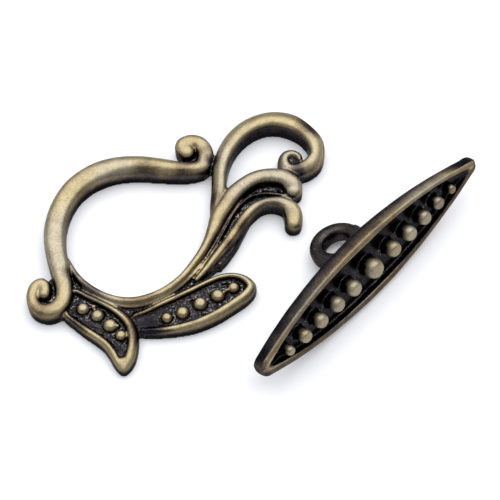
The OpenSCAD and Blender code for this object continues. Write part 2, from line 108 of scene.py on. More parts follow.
@dataclass(frozen=True)
class Stroke:
    """A raised stroke of the casting.

    Attributes:
        knots: x and y in millimetres from the middle of the ring's opening, then width and height
            as shares of the two sizes below.
        width: Full width in millimetres.
        height: Full height in millimetres above the table.
        section: Shape across the stroke.
        end: How it ends.
        wall: Share of the height at which the upright wall turns into the crown.
        fullness: How square the crown is, 1 for a round one.
        rounder: First and last knot of a part whose crown is nearly round.
    """

    knots: tuple[Knot, ...]
    width: float
    height: float
    section: Section = Section.CROWN
    end: End = End.ROUND
    wall: float = 0.36
    fullness: float = 0.5
    rounder: Pair = (0.0, 0.0)

    def point(self, index: int, share: float) -> Vector:
        """Finds a point of the smooth curve through the knots.

        Args:
            index: Knot that the point comes after.
            share: Share of the way to the next knot.

        Returns:
            x, y, width and height in millimetres.
        """
        count = len(self.knots)
        if self.end is End.CLOSED:
            picks = [(index + step) % count for step in (-1, 0, 1, 2)]
        else:
            picks = [min(max(index + step, 0), count - 1) for step in (-1, 0, 1, 2)]
        a, b, c, d = (Vector(self.knots[pick]) for pick in picks)
        bend = (c - a) * share + (2 * a - 5 * b + 4 * c - d) * share**2 + (3 * b - a - 3 * c + d) * share**3
        p = b + bend / 2
        return Vector((p[0], p[1], p[2] * self.width, p[3] * self.height))

    def stations(self, spacing: float) -> list[Vector]:
        """Lists points along the curve.

        Args:
            spacing: Distance between two points in millimetres.

        Returns:
            Points as x, y, width, height and place counted in knots.
        """
        last = len(self.knots) if self.end is End.CLOSED else len(self.knots) - 1
        found = []
        for index in range(last):
            reach = (self.point(index, 1) - self.point(index, 0)).xy.length
            steps = max(2, math.ceil(reach / spacing))
            for step in range(steps):
                share = step / steps
                found.append(Vector((*self.point(index, share), index + share)))
        if self.end is End.ROUND:
            found.append(Vector((*self.point(last - 1, 1), last)))
        return found

    def trail(self, spacing: float) -> list[Pair]:
        """Lists x and y of points along the curve."""
        return [(place[0], place[1]) for place in self.stations(spacing)]

    def squareness(self, knot: float) -> float:
        """Gives how square the crown is at a place counted in knots, 1 for a round one."""
        first, last = self.rounder
        if first == last:
            return self.fullness
        inside = smooth(first - 1, first + 1, knot) * smooth(last + 1, last - 1, knot)
        return self.fullness + (ROUND_CROWN - self.fullness) * inside

    def outline(self, rounds: int, fullness: float) -> list[Pair]:
        """Draws the section for a stroke that is one wide and one high.

        Args:
            rounds: Number of segments over the crown.
            fullness: How square the crown is, 1 for a round one.

        Returns:
            Corners from the left foot over the crown to the right foot.
        """
        crown = []
        for step in range(rounds + 1):
            turn = math.pi * (1 - step / rounds)
            x = math.cos(turn) / 2
            y = self.wall + (1 - self.wall) * max(0.0, math.sin(turn)) ** fullness
            lean = self.section.value
            y -= abs(lean) * OUTER_DROP * max(0.0, -2 * x * math.copysign(1, lean)) ** OUTER_BEND
            crown.append((x + lean * (1 - 4 * x * x), y))
        return [(-0.5, 0.0), *crown, (0.5, 0.0)]


class Shell:
    """Closed shells in millimetres that are fused into the skin of one casting."""

    def __init__(self) -> None:
        """Starts with no metal."""
        self.bm = bmesh.new()

    def sweep(self, rings: Sequence[Sequence[Vector]], closed: bool) -> None:
        """Extrudes a section through a row of places.

        Args:
            rings: The section's corners at each place, in the same order.
            closed: Whether the last place joins the first.
        """
        bm = self.bm
        first = [bm.verts.new(corner) for corner in rings[0]]
        start = [bm.edges.new((first[i], first[(i + 1) % len(first)])) for i in range(len(first))]
        if not closed:
            bm.faces.new(first)
        edges, verts = start, first
        for ring in [*rings[1:], rings[0]] if closed else rings[1:]:
            made = bmesh.ops.extrude_edge_only(bm, edges=edges)["geom"]
            new = {v for v in made if isinstance(v, bmesh.types.BMVert)}
            verts = [next(e.other_vert(v) for e in v.link_edges if e.other_vert(v) in new) for v in verts]
            for vert, corner in zip(verts, ring):
                vert.co = corner
            edges = [bm.edges.get((verts[i], verts[(i + 1) % len(verts)])) for i in range(len(verts))]
        if closed:
            bmesh.ops.weld_verts(bm, targetmap=dict(zip(verts, first)))
        else:
            bm.faces.new(list(reversed(verts)))

    def stroke(self, stroke: Stroke, spacing: float = 0.3, rounds: int = 18) -> None:
        """Adds a raised stroke.

        Args:
            stroke: The stroke to draw.
            spacing: Distance between its sections in millimetres.
            rounds: Segments over its crown.
        """
        places = stroke.stations(spacing)
        closed = stroke.end is End.CLOSED
        count = len(places)
        rings = []
        for index, place in enumerate(places):
            if closed:
                ahead = places[(index + 1) % count] - places[index - 1]
            else:
                ahead = places[min(index + 1, count - 1)] - places[max(index - 1, 0)]
            way = Vector((ahead[0], ahead[1])).normalized()
            turns = [0.0]
            if not closed and index == 0:
                turns = [*(-turn for turn in reversed(CAP_TURNS)), 0.0]
            if not closed and index == count - 1:
                turns += CAP_TURNS
            rings += [self.across(stroke, place, way, turn, rounds) for turn in turns]
        self.sweep(rings, closed)

    @staticmethod
    def across(stroke: Stroke, place: Vector, way: Vector, turn: float, rounds: int) -> list[Vector]:
        """Sets a section across a stroke.

        Args:
            stroke: The stroke.
            place: One of its stations.
            way: Its direction there.
            turn: Angle round a round end in degrees, below 0 before the first place and 0 for a
                full section.
            rounds: Segments over the crown.

        Returns:
            The section's corners in millimetres.
        """
        wall, square = stroke.wall, stroke.squareness(place[4])
        shrink = math.cos(math.radians(turn))
        ahead = math.sin(math.radians(turn)) * place[2] / 2
        corners = []
        for x, y in stroke.outline(rounds, square):
            off = x * place[2] * shrink
            high = wall + (y - wall) * shrink**square if y > wall else y
            corners.append(Vector((place[0] + way[0] * ahead + way[1] * off,
                                   place[1] + way[1] * ahead - way[0] * off, high * place[3])))
        return corners

    def plate(self, outline: Sequence[Pair], top: float) -> None:
        """Adds a flat floor.

        Args:
            outline: Its corners, anticlockwise.
            top: Height of its upper side.
        """
        face = self.bm.faces.new([self.bm.verts.new((x, y, 0)) for x, y in outline])
        made = bmesh.ops.extrude_face_region(self.bm, geom=[face])["geom"]
        bmesh.ops.translate(self.bm, verts=[v for v in made if isinstance(v, bmesh.types.BMVert)],
                            vec=(0, 0, top))
        bmesh.ops.reverse_faces(self.bm, faces=[face])

    def disc(self, x: float, y: float, radius: float, top: float) -> None:
        """Adds a round floor from the table up to a height."""
        bmesh.ops.create_cone(self.bm, cap_ends=True, segments=48, radius1=radius, radius2=radius, depth=top,
                              matrix=Matrix.Translation((x, y, top / 2)))

    def bead(self, place: Matrix, diameter: float, rise: float, root: float, flat: float) -> None:
        """Adds a domed bead on an upright foot.

        Args:
            place: Its frame, with Z out of the metal and the origin under its dome.
            diameter: Diameter of the bead.
            rise: Height of its dome.
            root: Depth of its foot under the dome.
            flat: Share of the dome that polishing took off its top.
        """
        radius = diameter / 2
        ball = bmesh.ops.create_uvsphere(self.bm, u_segments=32, v_segments=20, radius=radius)["verts"]
        for vert in ball:
            vert.co.z = min(vert.co.z / radius * rise, rise * (1 - flat)) if vert.co.z > 0 else vert.co.z
            if vert.co.z < -TOUCHING:
                away = vert.co.xy.length
                vert.co.z = -root
                vert.co.xy *= radius / away if away > TOUCHING else 1
        bmesh.ops.transform(self.bm, verts=ball, matrix=place)


@dataclass(frozen=True)
class Casting:
    """How a skin is made from shells. Lengths are in millimetres."""

    # Edge of the cells that the shells are fused in, and rounds of smoothing that let the metal run
    grain: float = 0.11
    flow: int = 2

    # Distance within which metal shades metal, and rays that look for it from each point
    reach: float = 1.5
    rays: int = 18

    # Widest opening whose walls the drum doesn't reach, level rays that look across it, the angle
    # that they spread over, what counts as a wall, and how far in front of it they start
    span: float = 12.0
    looks: int = 7
    fan: float = 120.0
    upright: float = 0.35
    clear: float = 0.2

    # Slow unevenness: height, waves to the millimetre, and how far the skin draws in as it cools
    swell: float = 0.035
    swell_rate: float = 0.35
    shrink: float = 0.016

    # Stipple of floors: height, waves to the millimetre, how fast its layers fade, how much finer each
    # is than the last and how many there are, and which metal counts as floor
    pit: float = 0.13
    pit_rate: float = 2.2
    pit_layers: tuple[float, float, int] = (1.0, 2.0, 3)
    floor_gap: float = 0.15
    floor_slope: float = 0.6

    def fuse(self, shell: Shell, name: str) -> bmesh.types.BMesh:
        """Fuses shells into one skin.

        Args:
            shell: Closed shells in millimetres.
            name: Name of the working mesh.

        Returns:
            The skin in millimetres, smoothed.
        """
        bmesh.ops.recalc_face_normals(shell.bm, faces=shell.bm.faces)
        draft = bpy.data.meshes.new(f"{name}_draft")
        shell.bm.to_mesh(draft)
        body = bpy.data.objects.new(f"{name}_draft", draft)
        bpy.context.collection.objects.link(body)
        cells = body.modifiers.new("fuse", "REMESH")
        cells.mode = "VOXEL"
        cells.voxel_size = self.grain
        skin = bmesh.new()
        skin.from_object(body, bpy.context.evaluated_depsgraph_get())
        bpy.data.objects.remove(body)
        bpy.data.meshes.remove(draft)
        shell.bm.free()
        for _ in range(self.flow):
            bmesh.ops.smooth_vert(skin, verts=skin.verts, factor=0.5, use_axis_x=True, use_axis_y=True,
                                  use_axis_z=True)
        skin.normal_update()
        return skin

    def shade(self, skin: bmesh.types.BMesh) -> list[float]:
        """Measures how hollow the metal is at each point.

        Args:
            skin: The skin in millimetres.

        Returns:
            Share of each point's outlook that other metal blocks, 0 on a crest and near 1 in a pit.
        """
        tree = BVHTree.FromBMesh(skin)
        golden = math.pi * (3 - math.sqrt(5))
        looks = []
        for index in range(self.rays):
            high = math.sqrt((index + 0.5) / self.rays)
            flat = math.sqrt(1 - high * high)
            looks.append(Vector((flat * math.cos(golden * index), flat * math.sin(golden * index), high)))
        hollow = []
        for vert in skin.verts:
            turn = Vector((0, 0, 1)).rotation_difference(vert.normal).to_matrix()
            start = vert.co + vert.normal * (self.grain * 0.5)
            shaded = 0.0
            for look in looks:
                distance = tree.ray_cast(start, turn @ look, self.reach)[3]
                if distance is not None:
                    shaded += 1 - distance / self.reach
            hollow.append(shaded / self.rays)
        return hollow

    def enclose(self, skin: bmesh.types.BMesh) -> list[float]:
        """Measures how far each point of a wall is closed in by the metal across from it.

        Args:
            skin: The skin in millimetres.

        Returns:
            0 on an outer wall and on level metal, 1 on the wall of an opening.
        """
        tree = BVHTree.FromBMesh(skin)
        closed = []
        for vert in skin.verts:
            way = Vector((vert.normal.x, vert.normal.y, 0.0))
            if way.length < self.upright:
                closed.append(0.0)
                continue
            way.normalize()
            hits = 0
            for step in range(self.looks):
                turn = math.radians(self.fan * (step / (self.looks - 1) - 0.5))
                look = Matrix.Rotation(turn, 3, "Z") @ way
                start = vert.co + way * self.clear
                hits += tree.ray_cast(start, look, self.span)[3] is not None
            closed.append(hits / self.looks)
        return closed

    def roughen(self, skin: bmesh.types.BMesh, floor: float | None) -> None:
        """Gives the skin the unevenness of a cast and hand-finished piece.

        Args:
            skin: The skin in millimetres.
            floor: Height of a stippled floor, if there is one.
        """
        moves = []
        for vert in skin.verts:
            move = self.swell * noise(vert.co * self.swell_rate) - self.shrink
            level = floor is not None and abs(vert.co.z - floor) < self.floor_gap
            if level and vert.normal.z > self.floor_slope:
                move += self.pit * fractal(vert.co * self.pit_rate, *self.pit_layers)
            moves.append(vert.normal * move)
        for vert, move in zip(skin.verts, moves):
            vert.co += move
            if floor is not None:
                vert.co.z = max(vert.co.z, 0.0)
        skin.normal_update()


@dataclass
class Half(ABC):
    """One half of the clasp, which is one casting. Its lengths are in millimetres.

    Attributes:
        finish: Its metal.
        casting: How its skin is made.
        node: CAD node that it stands for.
        name: Name of its piece.
        floor: Height of its sunk and stippled floors, if it has any.
    """

    finish: "AntiqueBrass"
    casting: Casting
    node: str = ""
    name: str = ""
    floor: float | None = None

    @abstractmethod
    def frame(self) -> Matrix:
        """Finds the half's own frame."""

    @abstractmethod
    def shell(self) -> Shell:
        """Builds the casting's shells in its own frame."""

    @abstractmethod
    def wear_and_light(self, skin: bmesh.types.BMesh, hollow: Sequence[float]) -> list[float]:
        """Finds how much of the patina polishing has taken off, and where highlights and shade are painted
        on.

        Args:
            skin: The skin in its own frame.
            hollow: How hollow each point is.

        Returns:
            0 where the black is whole, 1 where the brass is bright.
        """

    def build(self) -> None:
        """Makes the piece that stands for the half's CAD node."""
        name, node = self.name, self.node
        skin = self.casting.fuse(self.shell(), node)
        hollow = self.casting.shade(skin)
        self.casting.roughen(skin, self.floor)
        wear_and_light = self.wear_and_light(skin, hollow)
        bmesh.ops.transform(skin, matrix=Matrix.Scale(MM, 4) @ self.frame(), verts=skin.verts)
        mesh = bpy.data.meshes.new(name)
        skin.to_mesh(mesh)
        skin.free()
        for title, values in (("hollow", hollow), ("wear_and_light", wear_and_light)):
            mesh.attributes.new(title, "FLOAT", "POINT").data.foreach_set("value", values)
        mesh.shade_smooth()
        piece = bpy.data.objects.new(name, mesh)
        bpy.context.collection.objects.link(piece)
        piece.data.materials.append(self.finish.build(f"{name}_metal"))
        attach(piece, "root")
        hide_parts(node)
        mesh.calc_loop_triangles()
        log.info("%s: %d triangles", name, len(mesh.loop_triangles))


class Rule:
    """A share of wear that is whole where all of a point's measures have come to the end of a range."""

    def __init__(self, share: float, **ranges: Pair) -> None:
        """Takes the share, and the range of each measure from where it is nothing to where it is whole."""
        self.share = share
        self.ranges = ranges

    def at(self, point: dict[str, float]) -> float:
        """Gives what is left of the share at a point with these measures."""
        return self.share * math.prod(smooth(*span, point[name]) for name, span in self.ranges.items())


@dataclass(frozen=True)
class RingPolish:
    """How far the polishing drum reaches on the ring, and where shade is painted on.

    Its rules measure a point's height and its rise over the floors and over the webs, its slope, which
    is the rise of its normal, how hollow it is, and its distances from the floors' height, the left
    leaf's point and the middle of the feather's valley. Lengths are in millimetres.
    """

    # Beads, the lowest of their metal over the floor, and the margin round their radius
    bead: Rule = Rule(0.86, rise=(0.1, 0.5), hollow=(0.6, 0.3))
    bead_foot: float = 0.1
    bead_margin: float = 0.05

    # Crests, and what takes wear from them: floors, low metal in the valley, and webs
    crest: Rule = Rule(0.88, slope=(0.02, 0.68), height=(0.6, 1.6))
    level: Rule = Rule(1.0, slope=(0.6, 0.85), off_floor=(0.4, 0.2), off_tip=(0.8, 1.5))
    low: Rule = Rule(0.55, height=(2.35, 2.05), off_valley=(6.5, 5.5))
    valley: Pair = (12.8, 2.8)
    web: Rule = Rule(1.0, over_web=(0.05, 0.3))

    # Walls, and the share that a closed opening keeps off them
    wall: Rule = Rule(0.7, height=(0.7, 1.9), slope=(0.8, 0.5))
    wall_loss: float = 0.85

    # Hollows, which stay dark, and flat tops, which don't
    dark: Rule = Rule(1.0, hollow=(0.16, 0.46))
    top: Rule = Rule(0.8, slope=(0.55, 0.9), height=(1.7, 2.2))

    # Spots painted darker: x, y, radius, and the share of wear lost in the middle. They are places that
    # the drum brushed by, and the one on the hook's outer bevel at 22.3, 16.1 is painted shade.
    darker_spots: tuple[Knot, ...] = (
        (9.2, 10.5, 1.2, 0.95), (-11, -10.2, 2.4, 0.35), (22.3, 16.1, 3.3, 1), (19.9, 8.9, 1.6, 0.75),
        (1.6, -12.8, 3.6, 0.8), (9.6, 4.8, 1.8, 0.5), (13, 1, 1.6, 0.45), (11.6, -1.6, 1.6, 0.45),
        (-7, -12, 2.4, 0.5), (1, 8.7, 2.4, 0.45), (5.6, 8.4, 1.8, 0.5), (-7.7, -5.4, 1.6, 0.6),
        (17.2, 3.9, 1.3, 0.5), (-5, -7.2, 3.4, 0.55), (0.5, -9, 3.4, 0.35), (-3, -10.6, 1.2, 0.3),
        (8.4, 11.9, 1.2, 0.3), (15.5, 5.6, 2.6, 0.5),
    )


@dataclass
class RingCasting(Half):
    """The ring half: a frame stroke, a hook, a feather and two beaded leaves.

    Places are counted from the middle of the opening.
    """

    node: str = "toggle_ring"
    name: str = "ring_casting"
    polish: RingPolish = RingPolish()

    # Places of the ring_underside mount and of the left leaf's point
    seat: Pair = (-10.0, 0.4)
    low_tip: Pair = (-1.0, -17.5)

    # Heights of floors and of webs, and spacing of a floor's corners
    floor: float = 1.3
    web: float = 2.0
    floor_spacing: float = 1.0

    # Beads: largest diameter, height, dome as a share of the diameter, how much lower a tiny one
    # stands, share of the dome polished off, and depth of the foot in the floor
    bead_size: float = 1.78
    bead_top: float = 2.3
    bead_dome: float = 0.42
    bead_drop: float = 0.25
    bead_flat: float = 0.12
    bead_root: float = 0.2

    # From the end of the low scroll to the end of the top one
    frame_stroke: Stroke = Stroke(width=2.8, height=CREST, wall=0.42, fullness=0.36, rounder=(20, 25), knots=(
        (-10.85, -8.1, 0.54, 0.88), (-10.8, -7.35, 0.54, 0.9), (-11.15, -6.75, 0.57, 0.91),
        (-11.9, -7.15, 0.56, 0.9), (-12.25, -8.2, 0.54, 0.88), (-12.1, -9.2, 0.54, 0.87),
        (-11.45, -10.05, 0.62, 0.86), (-10.4, -10.36, 0.7, 0.86), (-9.4, -10.05, 0.74, 0.88),
        (-8.7, -9.25, 0.74, 0.91), (-8.42, -8.2, 0.72, 0.93), (-8.52, -7, 0.74, 0.96),
        (-8.9, -5.6, 0.8, 0.99), (-9.28, -4.1, 0.9, 1), (-9.8, -1.8, 0.94, 1), (-10, 0.6, 0.96, 1),
        (-9.6, 3.1, 0.96, 1), (-8.6, 5.5, 0.97, 1), (-7.1, 7.4, 0.98, 1), (-5.1, 8.8, 1, 1),
        (-2.6, 9.7, 1.03, 1), (0.1, 9.95, 1.04, 1), (2.5, 9.75, 0.98, 0.98), (4.7, 9.45, 0.88, 0.95),
        (6.55, 9.4, 0.76, 0.91), (7.95, 9.85, 0.74, 0.89), (8.42, 11, 0.72, 0.88), (8.3, 12.2, 0.72, 0.87),
        (7.65, 13.2, 0.7, 0.87), (6.6, 13.45, 0.72, 0.88), (5.65, 12.95, 0.78, 0.89), (5.75, 12.3, 0.8, 0.9),
        (6, 11.95, 0.76, 0.9),
    ))

    # From the feather to the end of the hook's scroll
    hook: Stroke = Stroke(width=2.7, height=CREST, section=Section.BOW, fullness=0.42, knots=(
        (9.4, 2.4, 0.28, 0.88), (9.75, 4.4, 0.56, 0.92), (10.1, 6.4, 0.72, 0.96), (10.15, 8.4, 0.72, 1),
        (10.45, 10.4, 0.78, 1), (11.1, 12.3, 0.84, 1), (12.3, 14.2, 0.9, 1), (14.2, 15.8, 0.94, 1),
        (16.6, 16.6, 0.97, 1), (18.9, 16.3, 1.02, 1), (20.8, 15.1, 0.9, 1), (22.15, 13.4, 0.86, 0.98),
        (22.4, 11.6, 0.74, 0.96), (21.9, 10.4, 0.78, 0.94), (20.9, 9.55, 0.74, 0.9), (19.6, 9.15, 0.66, 0.86),
        (18.5, 9.6, 0.6, 0.85), (18.15, 10.65, 0.54, 0.85), (18.55, 11.5, 0.5, 0.86),
        (19.4, 11.7, 0.46, 0.85), (20.1, 11.35, 0.4, 0.82), (20.3, 10.85, 0.3, 0.78),
    ))

    # Strands of the feather from their heads to where they run out, the ridge between them that runs
    # on under the opening, and the foot of the valley below the lower one
    upper: Stroke = Stroke(width=2.0, height=CREST, fullness=0.42, knots=(
        (19.42, 6.5, 1.14, 0.88), (19.3, 7.05, 1.26, 0.94), (18.9, 7.65, 1.26, 0.98), (18, 8.14, 1.16, 1),
        (16.4, 8.27, 1.1, 1), (14.75, 7.92, 1.08, 1), (13.36, 7.08, 1.08, 1), (12.07, 5.84, 1.1, 1),
        (11.03, 4.26, 1.12, 1), (10.12, 2.57, 1.08, 0.98), (9.55, 0.88, 0.88, 0.94), (8.9, -0.8, 0.68, 0.92),
        (8.1, -2.5, 0.6, 0.9), (7, -4.2, 0.56, 0.86), (5.65, -5.95, 0.56, 0.83), (3.95, -7.4, 0.56, 0.8),
        (2, -8.38, 0.56, 0.76), (0, -8.87, 0.58, 0.73), (-2.05, -8.7, 0.56, 0.71), (-4.1, -7.9, 0.52, 0.7),
        (-5.85, -6.72, 0.48, 0.7), (-7.25, -5.2, 0.44, 0.7), (-8.3, -3.4, 0.4, 0.72),
    ))
    lower: Stroke = Stroke(width=2.0, height=CREST, fullness=0.42, knots=(
        (19.35, 1.95, 1.08, 0.79), (19.4, 2.8, 1.18, 0.84), (19.1, 3.7, 1.12, 0.9), (18.35, 4.35, 0.92, 0.92),
        (17.1, 4.65, 0.74, 0.93), (15.8, 4.5, 0.68, 0.92), (14.6, 3.8, 0.68, 0.92), (13.5, 2.6, 0.7, 0.92),
        (12.6, 1.2, 0.7, 0.92), (11.7, -0.3, 0.68, 0.9), (10.6, -1.9, 0.64, 0.88), (9.4, -3.6, 0.56, 0.84),
        (8.4, -5, 0.46, 0.78), (7.5, -6, 0.34, 0.7),
    ))
    hairline: Stroke = Stroke(width=0.4, height=CREST, knots=(
        (19.2, 5.35, 1.5, 0.6), (17.9, 5.85, 1.8, 0.62), (16.5, 6.05, 1.5, 0.64), (15.2, 5.95, 1.1, 0.66),
        (13.9, 5.4, 1, 0.68), (12.8, 4.4, 1, 0.68), (11.85, 2.9, 1, 0.68), (11, 1.1, 1, 0.68),
        (10.05, -0.9, 1, 0.68), (8.9, -3, 1, 0.68), (7.4, -5.05, 1, 0.68), (5.6, -6.95, 1, 0.66),
        (3.9, -8.2, 1, 0.64), (2, -9.15, 1, 0.62), (0.3, -9.6, 0.9, 0.6), (-1.2, -9.6, 0.9, 0.6),
        (-2.9, -9.1, 0.9, 0.6), (-4.75, -8.15, 0.9, 0.58), (-6.4, -7, 0.8, 0.56),
    ))
    foot: Stroke = Stroke(width=1.0, height=CREST, knots=(
        (18.2, 3.8, 0.5, 0.52), (16.8, 4.3, 0.5, 0.52), (15.1, 3.8, 0.5, 0.52), (13.9, 2.4, 0.5, 0.52),
        (13.1, 0.7, 0.5, 0.52), (12.3, -1, 0.55, 0.52), (11.3, -2.6, 0.6, 0.52), (10.3, -3.9, 0.6, 0.52),
    ))

    # Edge of the floor under the opening
    under_arc: tuple[Pair, ...] = (
        (-8.6, -6), (-8.4, -7.6), (-3, -10), (0, -11), (6, -8),
    )

    # Rims of the leaves, and metal that fills the point of the left one
    right_rim: Stroke = Stroke(**LEAF_RIM, section=Section.RIM, end=End.CLOSED, knots=(
        (14.2, -6.9, 1.35, 1), (13.5, -5.9, 1.1, 1), (12.2, -5.4, 0.9, 1), (10.5, -5.55, 0.88, 1),
        (8.8, -6.3, 0.86, 1), (7, -7.3, 0.86, 1), (5, -8.35, 0.84, 0.98), (3, -9.35, 0.8, 0.94),
        (1.4, -10.2, 0.76, 0.88), (0.1, -10.7, 0.7, 0.8), (-0.75, -11.5, 0.6, 0.5), (0.6, -12.6, 0.8, 0.64),
        (2.2, -12.7, 0.95, 0.72), (4, -12.6, 1.05, 0.78), (6, -12.3, 1.15, 0.86), (8, -11.7, 1.25, 0.94),
        (10, -10.7, 1.3, 1), (11.9, -9.4, 1.3, 1), (13.5, -8.1, 1.35, 1),
    ))
    left_rim: Stroke = Stroke(**LEAF_RIM, section=Section.RIM, end=End.CLOSED, knots=(
        (-1, -17.7, 0.9, 0.74), (-0.35, -16.6, 1.35, 0.86), (0.05, -15, 1.35, 0.98), (0.05, -13.4, 1.3, 1),
        (-0.45, -11.9, 1.2, 1), (-1.4, -10.75, 1.1, 1), (-2.8, -9.75, 0.92, 1), (-4.2, -8.95, 0.84, 0.98),
        (-5.7, -8.2, 0.8, 0.96), (-7.2, -7.5, 0.74, 0.94), (-8.3, -8.6, 0.72, 0.88), (-8.2, -10.5, 0.78, 0.8),
        (-6.9, -11.7, 0.9, 0.78), (-5.5, -12.8, 0.96, 0.8), (-4.2, -13.75, 1, 0.84),
        (-3.1, -14.7, 1.02, 0.86), (-2.3, -15.8, 1.05, 0.84), (-1.75, -16.85, 0.95, 0.82),
    ))
    left_tip: Stroke = Stroke(**LEAF_RIM, knots=(
        (-1.2, -15.8, 0.5, 0.5), (-1.15, -16.4, 1, 0.8), (-1.1, -16.9, 1.4, 0.82), (-1, -17.45, 1.2, 0.76),
    ))

    # Beads of the leaves, with sizes as shares of the largest, and stray drops of metal beside them
    right_beads: tuple[Spot, ...] = (
        (4, -11.1, 0.78), (5.9, -10.4, 0.92), (8, -9.2, 0.98), (10.1, -8.1, 1), (12, -7.05, 0.82),
    )
    left_beads: tuple[Spot, ...] = (
        (-6.1, -9.9, 0.88), (-4.3, -10.8, 0.92), (-2.75, -12.1, 1), (-1.4, -13.45, 0.78),
    )
    small_beads: tuple[Spot, ...] = (
        (11.1, -7.5, 0.28), (-1.85, -12.25, 0.26), (-4.8, -9.7, 0.32),
    )

    # Round floors inside the scrolls, and round webs that join neighbours
    scroll_floors: tuple[Spot, ...] = (
        (-10.6, -8.4, 1.7), (-9.8, -6.5, 0.9), (7, 11.6, 1.7), (19.2, 10.2, 1.4), (9.3, 10.8, 0.8),
    )
    webs: tuple[Spot, ...] = (
        (9.2, 10.5, 0.6), (10.9, 5.6, 0.7), (20, 8.9, 0.6), (19.3, 10.4, 1.1),
    )

    def beads(self) -> tuple[Spot, ...]:
        """Lists all beads of the casting."""
        return self.right_beads + self.left_beads + self.small_beads

    def frame(self) -> Matrix:
        """Finds the ring's own frame from the mount on its underside."""
        middle = Vector(mount("ring_underside")["pos_m"]) / MM - Vector((*self.seat, 0.0))
        return Matrix.Translation(middle)

    def shell(self) -> Shell:
        """Builds the shells of strokes, floors, webs and beads."""
        shell = Shell()
        for stroke in (self.frame_stroke, self.hook, self.upper, self.lower, self.hairline, self.foot,
                       self.right_rim, self.left_rim, self.left_tip):
            shell.stroke(stroke)
        for rim in (self.right_rim, self.left_rim):
            shell.plate(rim.trail(self.floor_spacing), self.floor)
        for x, y, radius in self.scroll_floors:
            shell.disc(x, y, radius, self.floor)
        for x, y, radius in self.webs:
            shell.disc(x, y, radius, self.web)
        upper = self.upper.trail(self.floor_spacing)
        foot = self.foot.trail(self.floor_spacing)
        shell.plate([*upper, *self.under_arc, *reversed(foot)], self.floor)
        for x, y, share in self.beads():
            size = share * self.bead_size
            rise = min(size * self.bead_dome, self.bead_top - self.floor)
            base = self.bead_top - rise - (1 - share) * self.bead_drop
            root = base - self.floor + self.bead_root
            shell.bead(Matrix.Translation((x, y, base)), size, rise, root, self.bead_flat)
        return shell

    def wear_and_light(self, skin: bmesh.types.BMesh, hollow: Sequence[float]) -> list[float]:
        """Finds how much of the ring's patina polishing has taken off, with painted shade on the hook's
        bevel.

        Args:
            skin: The skin in its own frame.
            hollow: How hollow each point is.

        Returns:
            0 where the black is whole, 1 where the brass is bright.
        """
        drum = self.polish
        beads = [(x, y, share * self.bead_size / 2 + drum.bead_margin) for x, y, share in self.beads()]
        found = []
        for vert, shaded, closed in zip(skin.verts, hollow, self.casting.enclose(skin)):
            x, y, z = vert.co
            point = {
                "height": z, "rise": z - self.floor, "over_web": z - self.web,
                "off_floor": abs(z - self.floor), "off_tip": math.dist((x, y), self.low_tip),
                "off_valley": math.dist((x, y), drum.valley), "slope": vert.normal.z, "hollow": shaded,
            }
            if z > self.floor + drum.bead_foot and within(x, y, beads):
                found.append(drum.bead.at(point))
                continue
            crest = drum.crest.at(point) * (1 - drum.level.at(point)) * (1 - drum.low.at(point))
            if within(x, y, self.webs):
                crest *= drum.web.at(point)
            wall = drum.wall.at(point) * (1 - drum.wall_loss * closed)
            kept = 1.0
            # Spots painted darker: patina the drum brushed by, and painted shade on the hook's outer bevel
            for x0, y0, reach, share in drum.darker_spots:
                kept *= 1 - share * smooth(reach, 0.0, math.hypot(x - x0, y - y0))
            dark = drum.dark.at(point) * (1 - drum.top.at(point))
            found.append(max(crest, wall) * kept * (1 - dark))
        return found


@dataclass(frozen=True)
class BarPolish:
    """How far the polishing drum reaches on the bar, and where highlights are painted on.

    Its rules measure a point's height over the face, slope, hollow, x, place along the bar from -1 to
    1 at the far end, distance from the middle line and past the bar's length, place on the rim from 0
    at its outer edge to 1 at its inner one, and how far its normal leans back, out or to the ends.
    """

    # Beads, what far ones lose, the painted highlight on their flanks that lean back, their lowest
    # metal, and the margin round them
    dome: Rule = Rule(0.9, height=(-0.1, 0.3), slope=(-0.4, 0.1))
    far: Rule = Rule(0.25, along=(0.4, 0.7))
    lit_flank: Rule = Rule(0.8, back=(0.55, 0.95), height=(-0.7, 0.2))
    bead_foot: float = -0.85
    bead_margin: float = 0.06

    # Rim: wear of its back and front side, each with what its lips add, polish plus a painted
    # highlight line along them, and what the near end loses
    back_rim: Pair = (0.6, 0.35)
    front_rim: Pair = (0.4, 0.45)
    lip_polish_and_gleam: tuple[Rule, ...] = (Rule(1.0, lip=(0.35, 0.05)), Rule(1.0, lip=(0.7, 0.95)))
    face: Rule = Rule(1.0, slope=(0.1, 0.5), height=(-0.4, -0.05))
    near: Rule = Rule(0.4, along=(-0.93, -0.97))

    # Outer walls: least wear, what is added toward the far end, and where they are
    wall: float = 0.3
    wall_gains: tuple[Rule, ...] = (Rule(0.22, x=(-14, -8)), Rule(0.4, x=(0, 12)))
    outer: Rule = Rule(1.0, height=(-2.3, -0.2), out=(0.2, 0.8), off_middle=(1.2, 2.2))

    # Wear of the near and the far end, where they are, and the eye
    ends: Pair = (0.3, 0.6)
    end: Rule = Rule(1.0, endward=(0.3, 0.8), past_end=(-1.8, -1.0))
    eye: Rule = Rule(0.27, height=(-2.3, -3.1))

    # Recess: least wear, the painted light on its back wall, which faces forward, and where it is
    recess: float = 0.03
    back_wall_light: Rule = Rule(0.36, back=(-0.1, -0.6))
    inside: Rule = Rule(1.0, lip=(0.9, 1.0))

    # Hollows, which stay dark
    dark: Rule = Rule(1.0, hollow=(0.12, 0.5))


